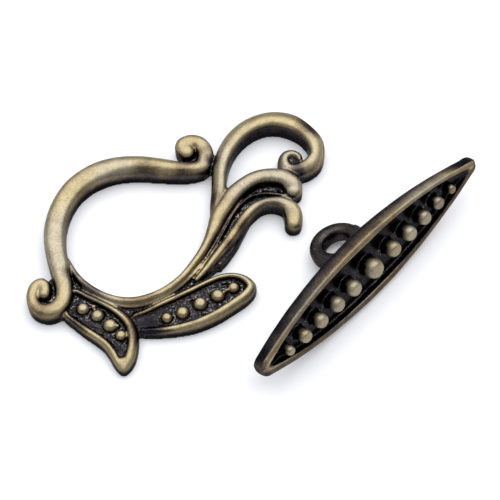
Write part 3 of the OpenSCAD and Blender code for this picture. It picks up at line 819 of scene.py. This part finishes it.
@dataclass
class BarCasting(Half):
    """The bar half: a lens-shaped bar with a beaded recess and an eye on a spreading foot."""

    node: str = "toggle_bar"
    name: str = "bar_casting"
    polish: BarPolish = BarPolish()

    # Bar: length, how much longer it is drawn, width, width and curve at the near and the far end,
    # depth at the middle and at the ends, and number of sections along it
    length: float = 39.06
    lead: float = 0.8
    face: float = 9.0
    tips: Pair = (2.0, 1.2)
    bends: Pair = (2.1, 1.8)
    depth: float = 2.3
    tip_depth: float = 1.8
    sections: int = 150

    # Rim: width, and its profile as shares of the way in from the edge and heights over the face
    rim: float = 1.0
    lips: tuple[Pair, ...] = (
        (0, -0.16), (0.1, -0.03), (0.25, 0), (0.45, -0.07), (0.7, -0.07), (0.9, 0),
    )

    # Recess: depth, where it ends, curves at the near and the far end, least half width, how fast it
    # deepens, height of its edge, and its wall as shares of half its width and of its depth
    recess: float = 1.0
    recess_reach: float = 0.955
    recess_bends: Pair = (2.6, 2.3)
    recess_least: float = 0.02
    recess_rise: float = 3.0
    recess_edge: float = -0.06
    recess_wall: tuple[Pair, ...] = ((0.985, 0.8), (0.95, 1.0))

    # Ends: where they begin to close, how far, how steeply, and the depth that they close to
    end_share: float = 0.955
    end_close: float = 0.55
    end_steep: float = 0.999
    core: float = 0.6

    # Back edges: radius, its limits as shares of half the width and of the depth, and segments
    back_round: float = 0.8
    back_limits: Pair = (0.7, 0.6)
    back_steps: int = 6

    # Beads: largest diameter and height, share of it that a tiny one keeps, loss toward the far end,
    # dome as a share of the diameter, share of it polished off, depth of the foot in the recess
    bead_size: float = 2.6
    bead_rise: float = 1.6
    bead_least: float = 0.25
    bead_fall: float = 0.35
    bead_falling: Pair = (0.3, 0.8)
    bead_dome: float = 0.5
    bead_flat: float = 0.28
    bead_root: float = 0.2

    # Eye: wall, size along the bore, distance from the back, shift along the bar, squareness, segments
    eye_wall: float = 1.9
    eye_length: float = 2.2
    eye_foot: float = 2.25
    eye_shift: float = 0.4
    eye_square: float = 3.0
    eye_steps: tuple[int, int] = (72, 24)

    # Its foot: spread, share of its height at which it begins, inset, depth in the bar, and segments
    eye_flare: float = 1.14
    foot_waist: float = 0.5
    foot_inset: float = 0.2
    foot_root: float = 0.3
    foot_steps: int = 16

    # Beads from the middle out: share of half the bar, and share of the largest diameter
    beads: tuple[Pair, ...] = (
        (0, 1), (0.185, 0.8), (0.336, 0.76), (0.484, 0.73), (0.624, 0.68), (0.757, 0.48),
    )

    def frame(self) -> Matrix:
        """Finds the bar's own frame from the bore of its eye.

        Returns:
            Frame with X along the bar, Y along the bore and Z out of the face.
        """
        bore = mount("eye_bore")
        across = Vector(bore["axis"]).normalized()
        along = Vector((0, 0, 1)).cross(across) * -1
        along.normalize()
        along = along if along.x > 0 else -along
        out = along.cross(across)
        eye = Vector(bore["pos_m"]) / MM
        origin = eye - along * self.eye_shift + out * self.eye_back(bore["dims"]["r_mm"])
        return Matrix.Translation(origin) @ Matrix((along, across, out)).transposed().to_4x4()

    def bore(self) -> float:
        """Reads the radius of the eye's hole."""
        return mount("eye_bore")["dims"]["r_mm"]

    def eye_back(self, bore: float) -> float:
        """Gives the depth of the eye's middle below the face."""
        return self.depth + self.eye_foot + bore

    def half(self, share: float) -> float:
        """Gives half the width of the face at a share of half the bar."""
        tip, bend = self.tips[share > 0], self.bends[share > 0]
        return tip / 2 + (self.face - tip) / 2 * (1 - abs(share) ** bend)

    def sunk(self, share: float) -> float:
        """Gives how wide the recess still is at a share of half the bar, from 1 to 0."""
        return max(0.0, 1 - (abs(share) / self.recess_reach) ** self.recess_bends[share > 0])

    def section(self, share: float) -> list[Pair]:
        """Draws the bar's section.

        Args:
            share: Distance from the middle as a share of half the bar, from -1 to 1.

        Returns:
            Corners across the bar and out of its face, from one back edge round to the other.
        """
        away = abs(share)
        half, sunk = self.half(share), self.sunk(share)
        deep = self.tip_depth + (self.depth - self.tip_depth) * (1 - away**2)
        inner = max(self.recess_least, (self.face / 2 - self.rim) * sunk)
        floor = self.recess * min(1.0, sunk * self.recess_rise)
        turn = min(self.back_round, half * self.back_limits[0], deep * self.back_limits[1])
        side = []
        for step in range(self.back_steps + 1):
            angle = math.radians(90 * step / self.back_steps)
            side.append((half - turn + turn * math.sin(angle), -(deep - turn) - turn * math.cos(angle)))
        side += [(half - (half - inner) * way, z) for way, z in self.lips]
        side.append((inner, self.recess_edge))
        side += [(inner * wide, -floor * low) for wide, low in self.recess_wall]
        blunt = max(0.0, (away - self.end_share) / (1 - self.end_share))
        shrink = 1 - self.end_close * (1 - math.sqrt(1 - blunt**2 * self.end_steep))
        core = -deep * self.core
        side = [(y * shrink, core + (z - core) * shrink) for y, z in side]
        return side + [(-y, z) for y, z in reversed(side)]

    def shell(self) -> Shell:
        """Builds the shells of the bar, its beads and its eye."""
        shell = Shell()
        shares = [math.sin(math.pi / 2 * (2 * step / self.sections - 1)) for step in range(self.sections + 1)]
        rings = []
        for share in shares:
            x = share * (self.length + math.copysign(self.lead, share)) / 2
            rings.append([Vector((x, y, z)) for y, z in self.section(share)])
        shell.sweep(rings, closed=False)
        for share, size in self.beads:
            width = size * self.bead_size
            rise = width * self.bead_dome
            for way in (share,) if share == 0 else (-share, share):
                top = self.bead_rise * (self.bead_least + (1 - self.bead_least) * size)
                top *= 1 - self.bead_fall * smooth(*self.bead_falling, way)
                place = Matrix.Translation((way * self.length / 2, 0, top - rise))
                shell.bead(place, width, rise, self.recess + top - rise + self.bead_root, self.bead_flat)
        self.eye(shell)
        return shell

    def eye(self, shell: Shell) -> None:
        """Adds the eye and its foot."""
        bore = self.bore()
        outer = bore + self.eye_wall
        back = self.eye_back(bore)
        centre = Vector((self.eye_shift, 0, -back))
        middle = bore + self.eye_wall / 2
        rings = []
        steps, corners = self.eye_steps
        for step in range(steps):
            turn = math.tau * step / steps
            way = Vector((math.cos(turn), 0, math.sin(turn)))
            ring = []
            for corner in range(corners):
                angle = math.tau * corner / corners
                bulge = abs(math.cos(angle)) ** self.eye_square + abs(math.sin(angle)) ** self.eye_square
                bulge **= -1 / self.eye_square
                ring.append(centre + way * (middle + self.eye_wall / 2 * bulge * math.cos(angle))
                            + Vector((0, self.eye_length / 2 * bulge * math.sin(angle), 0)))
            rings.append(ring)
        shell.sweep(rings, closed=True)
        half = self.eye_length / 2 - self.foot_inset
        top = back - self.depth + self.foot_root
        waist = top * self.foot_waist
        curve = [math.pi * step / self.foot_steps for step in range(self.foot_steps + 1)]
        outline = [(outer, 0), (outer, waist), (outer * self.eye_flare, top),
                   (-outer * self.eye_flare, top), (-outer, waist), (-outer, 0),
                   *[(middle * math.cos(math.pi - a), middle * math.sin(a)) for a in curve]]
        rings = [[centre + Vector((x, y, z)) for x, z in outline] for y in (-half, half)]
        shell.sweep(rings, closed=False)

    def wear_and_light(self, skin: bmesh.types.BMesh, hollow: Sequence[float]) -> list[float]:
        """Finds how much of the bar's patina polishing has taken off, with painted highlights on the
        beads' back flanks, the rim's lips and the recess's back wall.

        Args:
            skin: The skin in its own frame.
            hollow: How hollow each point is.

        Returns:
            0 where the black is whole, 1 where the brass is bright.
        """
        drum = self.polish
        beads = [(side * share * self.length / 2, 0.0, size * self.bead_size / 2 + drum.bead_margin)
                 for share, size in self.beads for side in (-1, 1)]
        found = []
        for vert, shaded in zip(skin.verts, hollow):
            x, y, z = vert.co
            along = x / (self.length + math.copysign(self.lead, x)) * 2
            along = max(-1.0, min(1.0, along))
            point = {
                "x": x, "height": z, "along": along, "lip": (self.half(along) - abs(y)) / self.rim,
                "off_middle": abs(y), "past_end": abs(x) - self.length / 2, "hollow": shaded,
                "slope": vert.normal.z, "back": vert.normal.y, "endward": abs(vert.normal.x),
                "out": vert.normal.y * math.copysign(1, y),
            }
            if z > drum.bead_foot and within(x, y, beads):
                # Beads: worn domes, with a painted highlight on their flanks that lean back
                found.append(max(drum.dome.at(point) * (1 - drum.far.at(point)), drum.lit_flank.at(point)))
                continue
            least, more = drum.back_rim if y > 0 else drum.front_rim
            # The lips add polish and a painted highlight line along them
            face = least + more * max(ridge.at(point) for ridge in drum.lip_polish_and_gleam)
            face *= drum.face.at(point) * (1 - drum.near.at(point))
            wall = (drum.wall + sum(gain.at(point) for gain in drum.wall_gains)) * drum.outer.at(point)
            end = drum.ends[along > 0] * drum.end.at(point)
            # The recess's back wall, which faces forward, gets painted light
            sunk = (drum.recess + drum.back_wall_light.at(point)) * drum.inside.at(point)
            worn_and_lit = max(face, wall, end, drum.eye.at(point)) * (1 - drum.dark.at(point))
            found.append(max(sunk, worn_and_lit))
        return found


def mount(name: str) -> dict:
    """Finds a mount of the row's record by its name."""
    return next(m for m in frame["record"]["mounts"] if m["name"] == name)


def smooth(low: float, high: float, value: float) -> float:
    """Rises smoothly from 0 at low to 1 at high."""
    share = min(1.0, max(0.0, (value - low) / (high - low)))
    return share * share * (3 - 2 * share)


def within(x: float, y: float, spots: Sequence[Spot]) -> bool:
    """Tells whether a point lies inside any of the round spots."""
    return any(math.hypot(x - x0, y - y0) < reach for x0, y0, reach in spots)


def linear(colour: str) -> tuple[float, float, float, float]:
    """Turns an sRGB hex colour into linear light.

    Args:
        colour: Colour such as "#B5A67F".

    Returns:
        Linear red, green and blue, and full alpha.
    """
    parts = [int(colour[i:i + 2], 16) / 255 for i in (1, 3, 5)]
    return (*[p / 12.92 if p <= 0.04045 else ((p + 0.055) / 1.055) ** 2.4 for p in parts], 1.0)


def add_node(tree: Tree, kind: str, links: dict[str | int, object] | None = None,
             **settings: object) -> bpy.types.Node:
    """Adds a shader node.

    Args:
        tree: Tree that it goes in.
        kind: Its type.
        links: Input by name or number, given as a socket to link or a value to set.
        settings: Its properties.

    Returns:
        The node.
    """
    node = tree.nodes.new(kind)
    for key, value in settings.items():
        setattr(node, key, value)
    for key, value in (links or {}).items():
        if isinstance(value, Socket):
            tree.links.new(value, node.inputs[key])
        else:
            node.inputs[key].default_value = value
    return node


@dataclass(frozen=True)
class AntiqueBrass:
    """Zinc alloy plated with antique brass: blackened in a bath, then drum-polished.

    The bath leaves a black skin. Polishing takes it off the crests, so they show satin brass, and
    leaves brown where it only brushed by and black where it never reached. The wear that the pieces
    carry also holds painted highlights and shade, and the silver specks in the hollows are painted
    glints.
    """

    # The patina from whole to worn off, with the wear at which each colour shows
    oxide: str = "#151316"
    smoke: str = "#363236"
    brown: str = "#5C4E3F"
    bronze: str = "#8B7B5E"
    bright: str = "#AFA27F"
    stages: tuple[float, ...] = (0.0, 0.22, 0.48, 0.74, 1.0)

    # Painted glints: silver specks of painted highlight in the dark hollows: colour, strength, size,
    # noise and hollows
    painted_glint_colour: str = "#928D89"
    glint_strength: float = 0.8
    glint_size_mm: float = 0.24
    glint_noise_range: Pair = (0.56, 0.64)
    glint_hollow_range: Pair = (0.03, 0.2)

    # The black stays glossy, and the brass is scratched to a satin
    gloss: float = 0.24
    roughness: float = 0.46

    # Grain that frays the patina's edges and roughens the light on it
    grain_mm: float = 0.16
    fray: float = 0.8
    bump: float = 0.35
    bump_mm: float = 0.02

    # Clouds that make the patina patchy
    cloud_mm: float = 1.6
    patch: float = 0.5

    # Broad drifts in which the brass pales toward grey
    drift_mm: float = 9.0
    drift_noise: Pair = (0.45, 0.65)
    pallor: float = 0.7

    # A thin lacquer that gives soft highlights
    tint: str = "#A0A0A0"
    lacquer: float = 0.1
    lacquer_roughness: float = 0.12

    def build(self, name: str) -> bpy.types.Material:
        """Builds the material.

        Args:
            name: Name of the material.

        Returns:
            The material.
        """
        material = bpy.data.materials.new(name)
        material.use_nodes = True
        tree = material.node_tree
        tree.nodes.clear()
        place = add_node(tree, "ShaderNodeTexCoord").outputs["Object"]
        wear_and_light = add_node(tree, "ShaderNodeAttribute", attribute_name="wear_and_light").outputs["Fac"]
        hollow = add_node(tree, "ShaderNodeAttribute", attribute_name="hollow").outputs["Fac"]
        patterns = {"fine": (self.grain_mm, 3.0, 0.6), "cloud": (self.cloud_mm, 4.0, 0.6),
                    "drift": (self.drift_mm, 1.0, 0.5), "glint_spots": (self.glint_size_mm, 2.0, 0.7)}
        mottle = {}
        for title, (size_mm, detail, rough) in patterns.items():
            links = {"Vector": place, "Scale": 1 / (size_mm * MM), "Detail": detail, "Roughness": rough}
            mottle[title] = add_node(tree, "ShaderNodeTexNoise", links).outputs["Fac"]
        ragged = add_node(tree, "ShaderNodeMath", {0: mottle["fine"], 1: self.fray, 2: -self.fray / 2},
                          operation="MULTIPLY_ADD")
        patchy = add_node(tree, "ShaderNodeMath", {0: mottle["cloud"], 1: self.patch, 2: -self.patch / 2},
                          operation="MULTIPLY_ADD")
        uneven = add_node(tree, "ShaderNodeMath", {0: ragged.outputs[0], 1: patchy.outputs[0]},
                          operation="ADD")
        worn_and_lit = add_node(tree, "ShaderNodeMath", {0: wear_and_light, 1: uneven.outputs[0]}, operation="ADD",
                        use_clamp=True).outputs[0]
        ramp = add_node(tree, "ShaderNodeValToRGB", {"Fac": worn_and_lit})
        band = ramp.color_ramp
        band.elements.remove(band.elements[0])
        band.elements[0].position = self.stages[0]
        band.elements[0].color = linear(self.oxide)
        colours = (self.smoke, self.brown, self.bronze, self.bright)
        for position, colour in zip(self.stages[1:], colours):
            band.elements.new(position).color = linear(colour)
        pale = add_node(tree, "ShaderNodeMapRange", {
            "Value": mottle["drift"], "From Min": self.drift_noise[0], "From Max": self.drift_noise[1],
            "To Min": 1.0, "To Max": self.pallor,
        })
        hue = add_node(tree, "ShaderNodeHueSaturation", {"Color": ramp.outputs["Color"],
                                                         "Saturation": pale.outputs[0]})
        # Painted glints: silver specks of painted highlight mixed into the base colour where the hollows are
        # deep
        glint_spot_mask = add_node(tree, "ShaderNodeMapRange", {
            "Value": mottle["glint_spots"], "From Min": self.glint_noise_range[0], "From Max": self.glint_noise_range[1],
        })
        deep = add_node(tree, "ShaderNodeMapRange", {
            "Value": hollow, "From Min": self.glint_hollow_range[0], "From Max": self.glint_hollow_range[1],
            "To Max": self.glint_strength,
        })
        painted_glints = add_node(tree, "ShaderNodeMath", {0: glint_spot_mask.outputs[0], 1: deep.outputs[0]},
                          operation="MULTIPLY")
        colour = add_node(tree, "ShaderNodeMix", {"Factor": painted_glints.outputs[0], 6: hue.outputs[0],
                                                  7: linear(self.painted_glint_colour)}, data_type="RGBA")
        dull = add_node(tree, "ShaderNodeMapRange", {"Value": worn_and_lit, "To Min": self.gloss,
                                                     "To Max": self.roughness})
        bump = add_node(tree, "ShaderNodeBump", {"Height": mottle["fine"], "Strength": self.bump,
                                                 "Distance": self.bump_mm * MM})
        surface = add_node(tree, "ShaderNodeBsdfPrincipled", {
            "Base Color": colour.outputs[2],
            "Metallic": 1.0,
            "Roughness": dull.outputs[0],
            "Normal": bump.outputs[0],
            "Specular Tint": linear(self.tint),
            "Coat Weight": self.lacquer,
            "Coat Roughness": self.lacquer_roughness,
        })
        add_node(tree, "ShaderNodeOutputMaterial", {"Surface": surface.outputs[0]})
        return material


@dataclass(frozen=True)
class Studio:
    """A pale table under soft light, seen from the photograph's place.

    Attributes:
        target: Point that the camera looks at, in millimetres.
        elevation: Camera's height over the table in degrees.
        distance: Distance from the camera to the target in millimetres.
        pixels_per_mm: Size of the picture at the target.
        picture: Width of the picture in pixels.
        sensor: Width of the camera's sensor in millimetres.
    """

    target: Spot = (-0.486, -0.086, 0.0)
    elevation: float = 62.0
    distance: float = 220.0
    pixels_per_mm: float = 8.1
    picture: float = 500.0
    sensor: float = 36.0

    def camera(self) -> None:
        """Sets the camera at the photograph's viewing angle."""
        turn = math.radians(self.elevation)
        back = Vector((0, -math.cos(turn), math.sin(turn)))
        lens = bpy.data.cameras.new("camera")
        lens.sensor_width = self.sensor
        lens.lens = self.sensor * self.pixels_per_mm * self.distance / self.picture
        lens.clip_start = 0.01
        eye = bpy.data.objects.new("camera", lens)
        eye.location = (Vector(self.target) + back * self.distance) * MM
        eye.rotation_euler = (math.radians(90 - self.elevation), 0, 0)
        bpy.context.collection.objects.link(eye)
        bpy.context.scene.camera = eye

    def table(self) -> None:
        """Lays the pale table."""
        bm = bmesh.new()
        bmesh.ops.create_grid(bm, x_segments=1, y_segments=1, size=1.5)
        mesh = bpy.data.meshes.new("table")
        bm.to_mesh(mesh)
        bm.free()
        top = bpy.data.objects.new("table", mesh)
        bpy.context.collection.objects.link(top)
        material = bpy.data.materials.new("matt_card")
        material.use_nodes = True
        card = material.node_tree.nodes["Principled BSDF"]
        card.inputs["Base Color"].default_value = linear("#F4F4F6")
        card.inputs["Roughness"].default_value = 0.9
        card.inputs["Specular IOR Level"].default_value = 0.0
        card.inputs["Emission Color"].default_value = linear("#FBFBFC")
        card.inputs["Emission Strength"].default_value = 0.14
        mesh.materials.append(material)

    @staticmethod
    def light(name: str, place: Spot, size: Pair, power: float) -> None:
        """Hangs a soft box that faces the middle of the table.

        Args:
            name: Name of the light.
            place: Its place in metres.
            size: Its width and height in metres.
            power: Its power in watts.
        """
        box = bpy.data.lights.new(name, "AREA")
        box.shape = "RECTANGLE"
        box.size, box.size_y = size
        box.energy = power
        lamp = bpy.data.objects.new(name, box)
        lamp.location = place
        lamp.rotation_euler = (-Vector(place)).to_track_quat("-Z", "Y").to_euler()
        bpy.context.collection.objects.link(lamp)

    def build(self) -> None:
        """Sets camera, table and lights."""
        self.camera()
        self.table()
        self.light("back_box", place=(0.06, 0.33, 0.82), size=(1.4, 1.1), power=10.4)
        self.light("left_strip", place=(-0.75, 0.1, 0.55), size=(0.4, 0.04), power=0.35)
        world = bpy.data.worlds.new("studio_air")
        world.use_nodes = True
        air = world.node_tree.nodes["Background"]
        air.inputs["Color"].default_value = linear("#DDE0E6")
        air.inputs["Strength"].default_value = 0.6
        bpy.context.scene.world = world
        bpy.context.scene.view_settings.view_transform = "Standard"


def main() -> None:
    """Builds the clasp and its studio."""
    logging.basicConfig(level=logging.INFO, format="%(name)s %(message)s")
    ring = RingCasting(AntiqueBrass(), Casting(grain=0.143, flow=1))
    # The bar's metal has weaker painted glints in its hollows and a rougher satin
    bar = BarCasting(AntiqueBrass(glint_strength=0.3, roughness=0.55), Casting())
    for half in (ring, bar):
        half.build()
    Studio().build()


if __name__ == "__main__":
    main()
